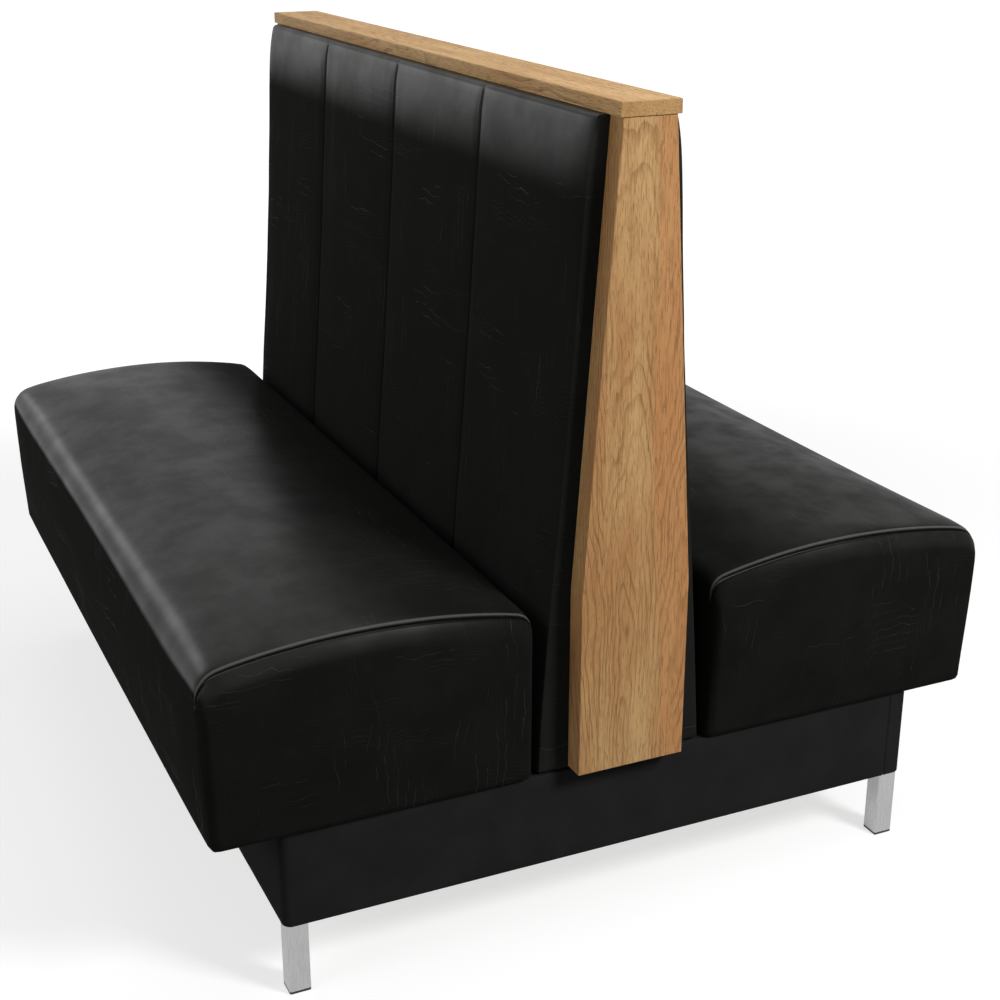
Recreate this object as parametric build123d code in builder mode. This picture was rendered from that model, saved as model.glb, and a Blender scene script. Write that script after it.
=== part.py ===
from build123d import *
import os

os.makedirs("parts", exist_ok=True)

# Double restaurant booth: two bench seats back to back on one base, in millimetres.
# X runs along the benches, Y across them, Z up from the floor; the origin is on the floor,
# under the middle. Near pieces lie on the -Y side, left ones on the -X side.

# Overall sizes
overall_height = 1067
seat_length = 1200
seat_crown_height = 484
leg_height = 100

# Legs: square steel tube with a welded top plate and a threaded stud
leg_side = 28
leg_wall = 1.5
leg_corner_radius = 2.5
leg_inset = 4
leg_plate_thickness = 3
leg_stud_diameter = 10
leg_stud_length = 30
foot_height = 4
foot_edge = 0.8
foot_plug_height = 14
foot_plug_clearance = 0.2

# Threaded inserts that the studs screw into
insert_diameter = 15
insert_length = 26
insert_flange_diameter = 21
insert_flange_thickness = 1.2
thread_clearance = 0.1

# Base box: boards between corner posts, wrapped in vinyl
base_end_setback = 5
base_front_setback = 84
base_height = 129
base_corner_radius = 12
base_cover_thickness = 1.5
base_cover_fold = 27
board_thickness = 22
post_side = 60
cross_rail_x = 198
deck_thickness = 12
dowel_diameter = 8
dowel_bite = 15
dowel_height_shares = (0.25, 0.75)

# Seats: outline across the bench
seat_back_y = 126
seat_front_y = 548
seat_front_bottom_y = 541
seat_back_edge_height = 459
seat_front_edge_height = 461
seat_crown_share = 0.48
seat_back_radius = 24
seat_front_radius = 32
seat_bottom_radius = 15
seat_end_radius = 13
seat_cover_thickness = 2
seat_cover_fold = 25
soft_clearance = 0.3

# Inside the seats
seat_frame_height = 140
seat_brace_height = 90
webbing_width = 50
webbing_thickness = 1.5
webbing_count = 9
dust_cover_thickness = 0.8

# Back: outline of the wooden panels and of the frame behind them; the panels close its ends and
# stand out past the seats
cap_thickness = 17
cap_width = 77
cap_overhang = 2
cap_edge_radius = 1.5
cap_joint = 0.5
panel_thickness = 30
panel_stand = 25
panel_bottom_height = 236
panel_kink_height = 479
panel_bottom_width = 149
panel_top_width = 69
panel_edge_radius = 1.5
face_board_thickness = 9
face_board_setback = 10

# Back padding: four upright channels on each side
channel_count = 4
pad_bottom_height = 231
pad_lumbar_height = 610
pad_middle_height = 758
pad_bottom_reach = 120
pad_seat_reach = 103
pad_lumbar_reach = 92
pad_middle_reach = 81
pad_top_reach = 63
pad_edge_height = 14
pad_edge_depth = 12
channel_seam_depth = 9
channel_shoulder_width = 24
channel_shoulder_drop = 3
shoulder_bow_share = 0.3
shoulder_rise_share = 0.7
back_cover_thickness = 2

# Long countersunk screws
screw_diameter = 4.5
screw_head_diameter = 9
screw_head_height = 3.2
screw_length = 40
cap_screw_length = 32
rail_screw_length = 50
panel_screw_shares = (0.08, 0.35, 0.65, 0.92)
cap_screw_shares = (-0.85, -0.25, 0.25, 0.85)
rail_screw_share = 0.55
seat_screw_shares = (0.2, 0.7)

# One overrun for all cuts
overrun = 1

# Heights and half sizes that follow
base_length = seat_length - 2 * base_end_setback
base_depth = 2 * (seat_front_bottom_y - base_front_setback)
base_bottom = leg_height
base_top = leg_height + base_height
base_frame_bottom = base_bottom + base_cover_thickness
base_frame_top = base_top - base_cover_thickness
deck_bottom = base_frame_top - deck_thickness
base_frame_height = deck_bottom - base_frame_bottom
base_frame_x = base_length / 2 - base_cover_thickness
base_frame_y = base_depth / 2 - base_cover_thickness
side_rail_y = base_frame_y - board_thickness / 2
end_rail_x = base_frame_x - board_thickness / 2
leg_x = base_length / 2 - leg_inset - leg_side / 2
leg_y = base_depth / 2 - leg_inset - leg_side / 2

seat_frame_bottom = base_top + seat_cover_thickness
seat_frame_top = seat_frame_bottom + seat_frame_height
seat_frame_back = seat_back_y + seat_bottom_radius
seat_front_lean = (seat_front_y - seat_front_bottom_y) / (seat_front_edge_height - base_top)
seat_front_frame_y = seat_front_bottom_y + seat_front_lean * (seat_frame_top - base_top)
seat_frame_front = min(seat_front_bottom_y, seat_front_frame_y) - seat_bottom_radius
seat_frame_x = seat_length / 2 - seat_bottom_radius
seat_frame_depth = seat_frame_front - seat_frame_back
seat_rail_gap = seat_frame_depth - 2 * board_thickness
seat_middle_y = (seat_frame_front + seat_frame_back) / 2
brace_x = cross_rail_x - board_thickness

back_length = seat_length + 2 * (panel_stand - panel_thickness)
back_bottom = base_top + board_thickness
cap_bottom = overall_height - cap_thickness
rib_top = cap_bottom - board_thickness
board_inner_half = panel_bottom_width / 2 - face_board_setback - face_board_thickness
taper = (panel_bottom_width - panel_top_width) / 2 / (cap_bottom - panel_kink_height)
pad_top = cap_bottom - soft_clearance
pad_half_length = back_length / 2 - soft_clearance
channel_width = 2 * pad_half_length / channel_count

sides = {"near": -1, "far": 1}
ends = {"left": -1, "right": 1}


# Writes one finished piece under its own name
def save(builder, name):
    builder.part.label = name
    export_step(builder.part, "parts/" + name + ".step")


# Half the width of a tapered upright at a height, set back from the panel's outline
def back_half_width(height, setback):
    return panel_bottom_width / 2 - setback - taper * max(height - panel_kink_height, 0)


# Outline of a tapered upright board, in the plane across the bench
def upright_outline(bottom, top, setback):
    heights = [bottom, panel_kink_height, top]
    right = [(back_half_width(height, setback), height) for height in heights]
    left = [(-y, height) for y, height in reversed(right)]
    return right + left


# Legs

for side, toward in sides.items():
    for end, along in ends.items():
        with BuildPart() as leg:
            with BuildSketch(Plane.XY.offset(foot_height)):
                with Locations((along * leg_x, toward * leg_y)):
                    RectangleRounded(leg_side, leg_side, leg_corner_radius)
                    RectangleRounded(
                        leg_side - 2 * leg_wall,
                        leg_side - 2 * leg_wall,
                        leg_corner_radius - leg_wall,
                        mode=Mode.SUBTRACT,
                    )
            extrude(amount=leg_height - foot_height)
            with BuildSketch(Plane.XY.offset(leg_height - leg_plate_thickness)):
                with Locations((along * leg_x, toward * leg_y)):
                    RectangleRounded(leg_side, leg_side, leg_corner_radius)
            extrude(amount=leg_plate_thickness)
            with BuildSketch(Plane.XY.offset(leg_height)):
                with Locations((along * leg_x, toward * leg_y)):
                    Circle(leg_stud_diameter / 2)
            extrude(amount=leg_stud_length)
        save(leg, "leg_" + side + "_" + end)

        with BuildPart() as foot_cap:
            with BuildSketch():
                with Locations((along * leg_x, toward * leg_y)):
                    RectangleRounded(leg_side, leg_side, leg_corner_radius)
            extrude(amount=foot_height)
            chamfer(foot_cap.faces().sort_by(Axis.Z)[0].edges(), foot_edge)
            plug_side = leg_side - 2 * leg_wall - 2 * foot_plug_clearance
            with BuildSketch(Plane.XY.offset(foot_height)):
                with Locations((along * leg_x, toward * leg_y)):
                    RectangleRounded(plug_side, plug_side, leg_corner_radius - leg_wall)
            extrude(amount=foot_plug_height)
        save(foot_cap, "foot_cap_" + side + "_" + end)


# Base

leg_points = [(along * leg_x, toward * leg_y) for along in (-1, 1) for toward in (-1, 1)]

with BuildPart() as leg_insert_nuts:
    with BuildSketch(Plane.XY.offset(base_frame_bottom)):
        with Locations(*leg_points):
            Circle(insert_flange_diameter / 2)
            Circle(leg_stud_diameter / 2 + thread_clearance, mode=Mode.SUBTRACT)
    extrude(amount=insert_flange_thickness)
    with BuildSketch(Plane.XY.offset(base_frame_bottom)):
        with Locations(*leg_points):
            Circle(insert_diameter / 2)
            Circle(leg_stud_diameter / 2 + thread_clearance, mode=Mode.SUBTRACT)
    extrude(amount=insert_length)
save(leg_insert_nuts, "leg_insert_nuts")

# Middles of the dowels: those along X join side rails to posts, those along Y the other joints
post_inner_x = base_frame_x - post_side
post_inner_y = base_frame_y - post_side
side_rail_inner_y = base_frame_y - board_thickness
dowel_heights = [base_frame_bottom + share * base_frame_height for share in dowel_height_shares]
dowel_points_x = [
    (along * post_inner_x, toward * side_rail_y, height)
    for along in (-1, 1)
    for toward in (-1, 1)
    for height in dowel_heights
]
dowel_points_y = [
    (x, toward * y, height)
    for x, y in (
        (-end_rail_x, post_inner_y),
        (end_rail_x, post_inner_y),
        (-cross_rail_x, side_rail_inner_y),
        (cross_rail_x, side_rail_inner_y),
    )
    for toward in (-1, 1)
    for height in dowel_heights
]

with BuildPart() as dowels:
    with Locations(*dowel_points_x):
        Cylinder(dowel_diameter / 2, 2 * dowel_bite, rotation=(0, 90, 0))
    with Locations(*dowel_points_y):
        Cylinder(dowel_diameter / 2, 2 * dowel_bite, rotation=(90, 0, 0))
save(dowels, "base_dowels")

for side, toward in sides.items():
    with BuildPart() as side_rail:
        with BuildSketch(Plane.XY.offset(base_frame_bottom)):
            with Locations((0, toward * side_rail_y)):
                Rectangle(2 * post_inner_x, board_thickness)
        extrude(amount=base_frame_height)
        add(dowels.part, mode=Mode.SUBTRACT)
    save(side_rail, "base_side_rail_" + side)

for side, toward in sides.items():
    for end, along in ends.items():
        corner = (along * base_frame_x, toward * base_frame_y)
        with BuildPart() as post:
            with BuildSketch(Plane.XY.offset(base_frame_bottom)):
                RectangleRounded(
                    2 * base_frame_x,
                    2 * base_frame_y,
                    base_corner_radius - base_cover_thickness,
                )
                with Locations(corner):
                    Rectangle(2 * post_side, 2 * post_side, mode=Mode.INTERSECT)
            extrude(amount=base_frame_height)
            with BuildSketch(Plane.XY.offset(base_frame_bottom)):
                with Locations((along * leg_x, toward * leg_y)):
                    Circle(insert_diameter / 2)
            extrude(amount=leg_stud_length + overrun, mode=Mode.SUBTRACT)
            add(leg_insert_nuts.part, mode=Mode.SUBTRACT)
            add(dowels.part, mode=Mode.SUBTRACT)
        save(post, "base_corner_post_" + side + "_" + end)

for end, along in ends.items():
    with BuildPart() as end_rail:
        with BuildSketch(Plane.XY.offset(base_frame_bottom)):
            with Locations((along * end_rail_x, 0)):
                Rectangle(board_thickness, 2 * post_inner_y)
        extrude(amount=base_frame_height)
        add(dowels.part, mode=Mode.SUBTRACT)
    save(end_rail, "base_end_rail_" + end)

with BuildPart() as base_cover:
    with BuildSketch(Plane.XY.offset(base_bottom)):
        RectangleRounded(base_length, base_depth, base_corner_radius)
    extrude(amount=base_height)
    with BuildSketch(Plane.XY.offset(base_frame_bottom)):
        RectangleRounded(
            2 * base_frame_x, 2 * base_frame_y, base_corner_radius - base_cover_thickness
        )
    extrude(amount=base_frame_top - base_frame_bottom, mode=Mode.SUBTRACT)
    with BuildSketch(Plane.XY.offset(base_bottom - overrun)):
        Rectangle(base_length - 2 * base_cover_fold, base_depth - 2 * base_cover_fold)
    extrude(amount=base_height + 2 * overrun, mode=Mode.SUBTRACT)
    with BuildSketch(Plane.XY.offset(base_bottom - overrun)):
        with Locations(*leg_points):
            Circle(leg_stud_diameter / 2 + thread_clearance)
    extrude(amount=base_cover_thickness + overrun, mode=Mode.SUBTRACT)
save(base_cover, "base_cover")


# Countersunk screws with the head's top on the plane, driven against its normal
def screws_on(plane, points, length):
    with BuildPart() as screws:
        with Locations(plane):
            with Locations(*points):
                with Locations((0, 0, -screw_head_height / 2)):
                    Cone(screw_diameter / 2, screw_head_diameter / 2, screw_head_height)
                with Locations((0, 0, -length / 2)):
                    Cylinder(screw_diameter / 2, length)
    return screws


# Frame screws run outward from the end ribs into the panels, and up from the deck into the
# seats' braces; cap screws run up from the top rail, and rail screws down from the bottom rail
rib_inner_x = back_length / 2 - board_thickness
panel_screw_heights = [
    back_bottom + share * (rib_top - back_bottom) for share in panel_screw_shares
]
seat_screw_points = [
    (along * brace_x, toward * (seat_frame_back + share * seat_frame_depth))
    for along in (-1, 1)
    for toward in (-1, 1)
    for share in seat_screw_shares
]
cap_screw_points = [(share * back_length / 2, 0) for share in cap_screw_shares]
rail_screw_points = [
    (along * cross_rail_x, toward * rail_screw_share * board_inner_half)
    for along in (-1, 1)
    for toward in (-1, 1)
]

deck_underside = Plane((0, 0, deck_bottom), x_dir=(-1, 0, 0), z_dir=(0, 0, -1))
seat_screws = screws_on(deck_underside, [(-x, y) for x, y in seat_screw_points], screw_length)
panel_screws = []
for along in ends.values():
    inward = Plane((along * rib_inner_x, 0, 0), x_dir=(0, 1, 0), z_dir=(-along, 0, 0))
    points = [(0, inward.y_dir.Z * height) for height in panel_screw_heights]
    panel_screws.append(screws_on(inward, points, screw_length).part)

with BuildPart() as frame_screws:
    add(seat_screws.part)
    add(panel_screws)
save(frame_screws, "frame_screws")

rail_underside = Plane((0, 0, rib_top), x_dir=(-1, 0, 0), z_dir=(0, 0, -1))
cap_screws = screws_on(rail_underside, cap_screw_points, cap_screw_length)
save(cap_screws, "cap_screws")

rail_screws = screws_on(Plane.XY.offset(back_bottom), rail_screw_points, rail_screw_length)
save(rail_screws, "back_rail_screws")

for end, along in ends.items():
    with BuildPart() as cross_rail:
        with BuildSketch(Plane.XY.offset(base_frame_bottom)):
            with Locations((along * cross_rail_x, 0)):
                Rectangle(board_thickness, 2 * side_rail_inner_y)
        extrude(amount=base_frame_height)
        add(dowels.part, mode=Mode.SUBTRACT)
        add(rail_screws.part, mode=Mode.SUBTRACT)
    save(cross_rail, "base_cross_rail_" + end)

with BuildPart() as deck:
    with BuildSketch(Plane.XY.offset(deck_bottom)):
        RectangleRounded(
            2 * base_frame_x, 2 * base_frame_y, base_corner_radius - base_cover_thickness
        )
    extrude(amount=deck_thickness)
    add(frame_screws.part, mode=Mode.SUBTRACT)
    add(rail_screws.part, mode=Mode.SUBTRACT)
save(deck, "base_deck")


# Seats

# Crowned block of one seat, shrunk by an inset all round
def seat_form(toward, inset):
    back_edge = (toward * seat_back_y, seat_back_edge_height)
    front_edge = (toward * seat_front_y, seat_front_edge_height)
    crown_y = seat_back_y + seat_crown_share * (seat_front_y - seat_back_y)
    with BuildPart() as form:
        with BuildSketch(Plane.YZ) as outline:
            with BuildLine():
                Polyline(
                    back_edge,
                    (toward * seat_back_y, base_top),
                    (toward * seat_front_bottom_y, base_top),
                    front_edge,
                )
                ThreePointArc(back_edge, (toward * crown_y, seat_crown_height), front_edge)
            make_face()
            fillet(outline.vertices().group_by(Axis.Y)[0], seat_bottom_radius)
            fillet(outline.vertices().sort_by_distance(back_edge)[0], seat_back_radius)
            fillet(outline.vertices().sort_by_distance(front_edge)[0], seat_front_radius)
            offset(amount=-inset)
        extrude(amount=seat_length / 2 - inset, both=True)
        end_faces = [form.faces().sort_by(Axis.X)[0], form.faces().sort_by(Axis.X)[-1]]
        fillet(end_faces[0].edges() + end_faces[1].edges(), seat_end_radius - inset)
    return form.part


# Equal boards of a seat's frame, standing on the seat's bottom
def seat_boards(places, length, depth, height):
    with BuildPart() as boards:
        with BuildSketch(Plane.XY.offset(seat_frame_bottom)):
            with Locations(*places):
                Rectangle(length, depth)
        extrude(amount=height)
    return boards


foam_bottom = seat_frame_top + webbing_thickness
seat_end_rail_x = seat_frame_x - board_thickness / 2
bottom_length = seat_length - 2 * seat_cover_fold
bottom_depth = seat_front_bottom_y - seat_back_y - 2 * seat_cover_fold

for side, toward in sides.items():
    outer = seat_form(toward, 0)
    inner = seat_form(toward, seat_cover_thickness)
    stuffing = seat_form(toward, seat_cover_thickness + soft_clearance)
    middle_y = toward * seat_middle_y
    bottom_middle_y = toward * (seat_back_y + seat_front_bottom_y) / 2
    frame_space = seat_boards(
        [(0, middle_y)], 2 * seat_frame_x, seat_frame_depth, seat_crown_height
    )

    with BuildPart() as seat_cover:
        add(outer)
        add(inner, mode=Mode.SUBTRACT)
        with BuildSketch(Plane.XY.offset(base_top - overrun)):
            with Locations((0, bottom_middle_y)):
                Rectangle(bottom_length, bottom_depth)
        extrude(amount=seat_cover_thickness + 2 * overrun, mode=Mode.SUBTRACT)
    save(seat_cover, "seat_cover_" + side)

    with BuildPart() as seat_foam:
        add(stuffing)
        split(bisect_by=Plane.XY.offset(foam_bottom), keep=Keep.TOP)
    save(seat_foam, "seat_foam_" + side)

    with BuildPart() as seat_wadding:
        add(stuffing)
        split(bisect_by=Plane.XY.offset(foam_bottom), keep=Keep.BOTTOM)
        add(frame_space.part, mode=Mode.SUBTRACT)
    save(seat_wadding, "seat_wadding_" + side)

    with BuildPart() as seat_webbing:
        with BuildSketch(Plane.XY.offset(seat_frame_top)):
            with Locations((0, middle_y)):
                with GridLocations(2 * seat_frame_x / webbing_count, 0, webbing_count, 1):
                    Rectangle(webbing_width, seat_frame_depth)
        extrude(amount=webbing_thickness)
    save(seat_webbing, "seat_webbing_" + side)

    front_y = toward * (seat_frame_front - board_thickness / 2)
    back_y = toward * (seat_frame_back + board_thickness / 2)
    long_rail = (2 * seat_frame_x, board_thickness, seat_frame_height)
    save(seat_boards([(0, front_y)], *long_rail), "seat_front_rail_" + side)
    save(seat_boards([(0, back_y)], *long_rail), "seat_back_rail_" + side)

    end_places = [(along * seat_end_rail_x, middle_y) for along in ends.values()]
    end_rails = seat_boards(end_places, board_thickness, seat_rail_gap, seat_frame_height)
    save(end_rails, "seat_end_rails_" + side)

    brace_places = [(along * brace_x, middle_y) for along in ends.values()]
    brace_blanks = seat_boards(brace_places, board_thickness, seat_rail_gap, seat_brace_height)
    with BuildPart() as braces:
        add(brace_blanks.part)
        add(frame_screws.part, mode=Mode.SUBTRACT)
    save(braces, "seat_braces_" + side)

    with BuildPart() as dust_cover:
        with BuildSketch(Plane.XY.offset(seat_frame_bottom - dust_cover_thickness)):
            with Locations((0, bottom_middle_y)):
                Rectangle(bottom_length - 2 * soft_clearance, bottom_depth - 2 * soft_clearance)
        extrude(amount=dust_cover_thickness)
        add(frame_screws.part, mode=Mode.SUBTRACT)
    save(dust_cover, "seat_dust_cover_" + side)


# Frame of the back

with BuildPart() as bottom_rail:
    with BuildSketch(Plane.XY.offset(base_top)):
        Rectangle(back_length, 2 * board_inner_half)
    extrude(amount=board_thickness)
    add(rail_screws.part, mode=Mode.SUBTRACT)
save(bottom_rail, "back_bottom_rail")

frame_setback = face_board_setback + face_board_thickness


# Tapered upright board, starting at x and reaching along +X
def upright(x, thickness, bottom, top, setback):
    with BuildPart() as board:
        with BuildSketch(Plane.YZ.offset(x)):
            with BuildLine():
                Polyline(*upright_outline(bottom, top, setback), close=True)
            make_face()
        extrude(amount=thickness)
    return board


# Upright of the back's own frame, with its middle at x
def rib(x):
    start_x = x - board_thickness / 2
    return upright(start_x, board_thickness, back_bottom, rib_top, frame_setback)


for end, along in ends.items():
    rib_blank = rib(along * (rib_inner_x + board_thickness / 2))
    with BuildPart() as end_rib:
        add(rib_blank.part)
        add(frame_screws.part, mode=Mode.SUBTRACT)
    save(end_rib, "back_end_rib_" + end)

inner_pair = [rib(along * cross_rail_x).part for along in ends.values()]
with BuildPart() as inner_ribs:
    add(inner_pair)
save(inner_ribs, "back_inner_ribs")

with BuildPart() as top_rail:
    with BuildSketch(Plane.YZ.offset(-back_length / 2)):
        with BuildLine():
            low = back_half_width(rib_top, frame_setback)
            high = back_half_width(cap_bottom, frame_setback)
            Polyline((-low, rib_top), (low, rib_top), (high, cap_bottom), (-high, cap_bottom), close=True)
        make_face()
    extrude(amount=back_length)
    add(cap_screws.part, mode=Mode.SUBTRACT)
save(top_rail, "back_top_rail")


# Face board of the back between two heights, in front of the frame on one side
def face_board(toward, bottom, top):
    with BuildPart() as board:
        with BuildSketch(Plane.YZ.offset(-back_length / 2)):
            with BuildLine():
                Polyline(
                    (toward * back_half_width(bottom, frame_setback), bottom),
                    (toward * back_half_width(bottom, face_board_setback), bottom),
                    (toward * back_half_width(top, face_board_setback), top),
                    (toward * back_half_width(top, frame_setback), top),
                    close=True,
                )
            make_face()
        extrude(amount=back_length)
    return board


for side, toward in sides.items():
    save(face_board(toward, base_top, panel_kink_height), "back_lower_board_" + side)
    save(face_board(toward, panel_kink_height, cap_bottom), "back_upper_board_" + side)


# Padding of the back

# Height and reach of the padding's outer face, from the bottom up
pad_outline = [
    (pad_bottom_height, pad_bottom_reach - pad_edge_depth),
    (pad_bottom_height + pad_edge_height, pad_bottom_reach),
    (panel_kink_height, pad_seat_reach),
    (pad_lumbar_height, pad_lumbar_reach),
    (pad_middle_height, pad_middle_reach),
    (pad_top - pad_edge_height, pad_top_reach),
    (pad_top, pad_top_reach - pad_edge_depth),
]


# One stuffed channel starting at x, shrunk by an inset, with its back a gap off the boards
def channel_form(toward, x, inset, back_gap):
    left = x + inset
    right = x + channel_width - inset
    with BuildPart() as form:
        for height, reach in pad_outline:
            level = min(max(height, pad_bottom_height + inset), pad_top - inset)
            crest = toward * (reach - inset)
            shoulder = toward * (reach - inset - channel_shoulder_drop)
            seam = toward * (reach - inset - channel_seam_depth)
            back = toward * (back_half_width(level, face_board_setback) + back_gap)
            with BuildSketch(Plane.XY.offset(level)):
                with BuildLine():
                    left_turn = (left + channel_shoulder_width, shoulder)
                    right_turn = (right - channel_shoulder_width, shoulder)
                    Polyline((left, seam), (left, back), (right, back), (right, seam))
                    ThreePointArc(
                        (left, seam),
                        (
                            left + channel_shoulder_width * shoulder_bow_share,
                            seam + (shoulder - seam) * shoulder_rise_share,
                        ),
                        left_turn,
                    )
                    ThreePointArc(left_turn, ((left + right) / 2, crest), right_turn)
                    ThreePointArc(
                        right_turn,
                        (
                            right - channel_shoulder_width * shoulder_bow_share,
                            seam + (shoulder - seam) * shoulder_rise_share,
                        ),
                        (right, seam),
                    )
                make_face()
        loft(ruled=True)
    return form.part


channel_starts = [channel_width * count - pad_half_length for count in range(channel_count)]

for side, toward in sides.items():
    foam_inset = back_cover_thickness + soft_clearance
    bulges = [channel_form(toward, x, 0, soft_clearance) for x in channel_starts]
    pockets = [channel_form(toward, x, back_cover_thickness, -overrun) for x in channel_starts]
    strips = [channel_form(toward, x, foam_inset, soft_clearance) for x in channel_starts]

    with BuildPart() as back_cover:
        add(bulges)
        add(pockets, mode=Mode.SUBTRACT)
    save(back_cover, "back_cover_" + side)

    with BuildPart() as back_foam:
        add(strips)
    save(back_foam, "back_foam_" + side)


# Wood that shows

for end, along in ends.items():
    start_x = back_length / 2 if along > 0 else -back_length / 2 - panel_thickness
    panel_blank = upright(
        start_x, panel_thickness, panel_bottom_height, cap_bottom - cap_joint, 0
    )
    with BuildPart() as end_panel:
        add(panel_blank.part)
        outer_face = end_panel.faces().sort_by(Axis.X)[-1 if along > 0 else 0]
        fillet(outer_face.edges(), panel_edge_radius)
        add(frame_screws.part, mode=Mode.SUBTRACT)
    save(end_panel, "end_panel_" + end)

with BuildPart() as top_cap:
    with BuildSketch(Plane.XY.offset(cap_bottom)):
        Rectangle(back_length + 2 * (panel_thickness + cap_overhang), cap_width)
    extrude(amount=cap_thickness)
    fillet(top_cap.faces().sort_by(Axis.Z)[-1].edges(), cap_edge_radius)
    add(cap_screws.part, mode=Mode.SUBTRACT)
save(top_cap, "top_cap")
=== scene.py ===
import math

import bpy
import numpy as np
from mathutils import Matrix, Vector, kdtree, noise


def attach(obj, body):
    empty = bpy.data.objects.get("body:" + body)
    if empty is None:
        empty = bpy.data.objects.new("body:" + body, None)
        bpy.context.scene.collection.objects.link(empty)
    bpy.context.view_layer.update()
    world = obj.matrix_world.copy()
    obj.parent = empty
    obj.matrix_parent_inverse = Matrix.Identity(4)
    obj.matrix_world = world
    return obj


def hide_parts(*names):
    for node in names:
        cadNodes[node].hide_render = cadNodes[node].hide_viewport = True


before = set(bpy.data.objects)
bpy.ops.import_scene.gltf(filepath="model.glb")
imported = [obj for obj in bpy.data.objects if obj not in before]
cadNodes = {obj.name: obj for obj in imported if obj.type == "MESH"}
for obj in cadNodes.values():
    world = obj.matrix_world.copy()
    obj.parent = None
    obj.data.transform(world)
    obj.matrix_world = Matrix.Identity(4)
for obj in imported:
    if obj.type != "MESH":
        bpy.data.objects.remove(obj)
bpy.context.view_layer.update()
print("booth: frame loaded,", len(cadNodes), "nodes")


# Node helpers

def addNode(tree, kind, inputs=None, **settings):
    node = tree.nodes.new(kind)
    for name, value in settings.items():
        setattr(node, name, value)
    for name, value in (inputs or {}).items():
        feed(tree, value, node.inputs[name])
    return node


def feed(tree, value, socket):
    if isinstance(value, bpy.types.NodeSocket):
        tree.links.new(value, socket)
    else:
        socket.default_value = value


def calc(tree, operation, first, second=0.0, clamp=False):
    node = addNode(tree, "ShaderNodeMath", operation=operation, use_clamp=clamp)
    feed(tree, first, node.inputs[0])
    feed(tree, second, node.inputs[1])
    return node.outputs[0]


def times(tree, first, second):
    return calc(tree, "MULTIPLY", first, second)


def vectorCalc(tree, operation, first, second):
    node = addNode(tree, "ShaderNodeVectorMath", operation=operation)
    feed(tree, first, node.inputs[0])
    feed(tree, second, node.inputs[1])
    return node.outputs[0]


def scaleVector(tree, vector, amount):
    node = addNode(tree, "ShaderNodeVectorMath", operation="SCALE")
    feed(tree, vector, node.inputs[0])
    feed(tree, amount, node.inputs["Scale"])
    return node.outputs[0]


def splitVector(tree, vector):
    return addNode(tree, "ShaderNodeSeparateXYZ", {"Vector": vector}).outputs


def ramp(tree, value, low, high, lowOut=0.0, highOut=1.0):
    inputs = {"Value": value, "From Min": low, "From Max": high, "To Min": lowOut, "To Max": highOut}
    return addNode(tree, "ShaderNodeMapRange", inputs, interpolation_type="SMOOTHSTEP").outputs["Result"]


def blendColour(tree, share, first, second):
    # sockets 0, 6 and 7 are the share and the two colours, and output 2 is the colour
    node = addNode(tree, "ShaderNodeMix", data_type="RGBA")
    for index, value in ((0, share), (6, first), (7, second)):
        feed(tree, value, node.inputs[index])
    return node.outputs[2]


def noiseValue(tree, place, scale, detail=2.0, roughness=0.5):
    inputs = {"Vector": place, "Scale": scale, "Detail": detail, "Roughness": roughness}
    return addNode(tree, "ShaderNodeTexNoise", inputs).outputs[0]


def cloud(tree, place, stretch, detail=2.0, roughness=0.5):
    # noise whose grain is set apart for X, Y and Z
    return noiseValue(tree, vectorCalc(tree, "MULTIPLY", place, stretch), 1.0, detail, roughness)


def wander(tree, place, scale, reach):
    # a shift that changes slowly from place to place, up to half of reach each way
    mist = addNode(tree, "ShaderNodeTexNoise", {"Vector": place, "Scale": scale, "Detail": 2.0})
    centred = vectorCalc(tree, "SUBTRACT", mist.outputs[1], (0.5, 0.5, 0.5))
    return vectorCalc(tree, "MULTIPLY", centred, reach)


def seenOrMirrored(tree):
    # 1 for camera, glossy and transmission rays
    path = tree.nodes.new("ShaderNodeLightPath").outputs
    seen = calc(tree, "MAXIMUM", path["Is Camera Ray"], path["Is Glossy Ray"])
    return calc(tree, "MAXIMUM", seen, path["Is Transmission Ray"])


def newGroup(name, vectors, numbers, outputs):
    tree = bpy.data.node_groups.new(name, "ShaderNodeTree")
    for label in vectors:
        tree.interface.new_socket(name=label, in_out="INPUT", socket_type="NodeSocketVector")
    for label, value in numbers.items():
        socket = tree.interface.new_socket(name=label, in_out="INPUT", socket_type="NodeSocketFloat")
        socket.default_value = value
    for label in outputs:
        tree.interface.new_socket(name=label, in_out="OUTPUT", socket_type="NodeSocketFloat")
    return tree, tree.nodes.new("NodeGroupInput").outputs, tree.nodes.new("NodeGroupOutput").inputs


def useGroup(tree, group, values):
    node = addNode(tree, "ShaderNodeGroup", node_tree=group)
    for name, value in values.items():
        feed(tree, value, node.inputs[name])
    return node.outputs


def newMaterial(name):
    material = bpy.data.materials.new(name)
    material.use_nodes = True
    tree = material.node_tree
    place = tree.nodes.new("ShaderNodeTexCoord").outputs["Object"]
    return material, tree, tree.nodes["Principled BSDF"], place


def addBump(tree, shader, height, distance):
    bump = addNode(tree, "ShaderNodeBump", {"Height": height, "Distance": distance, "Strength": 1.0})
    tree.links.new(bump.outputs[0], shader.inputs["Normal"])


def srgb(red, green, blue):
    shares = [value / 255 for value in (red, green, blue)]
    linear = [share / 12.92 if share <= 0.04045 else ((share + 0.055) / 1.055) ** 2.4 for share in shares]
    return (*linear, 1.0)


# Shared effects

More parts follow.
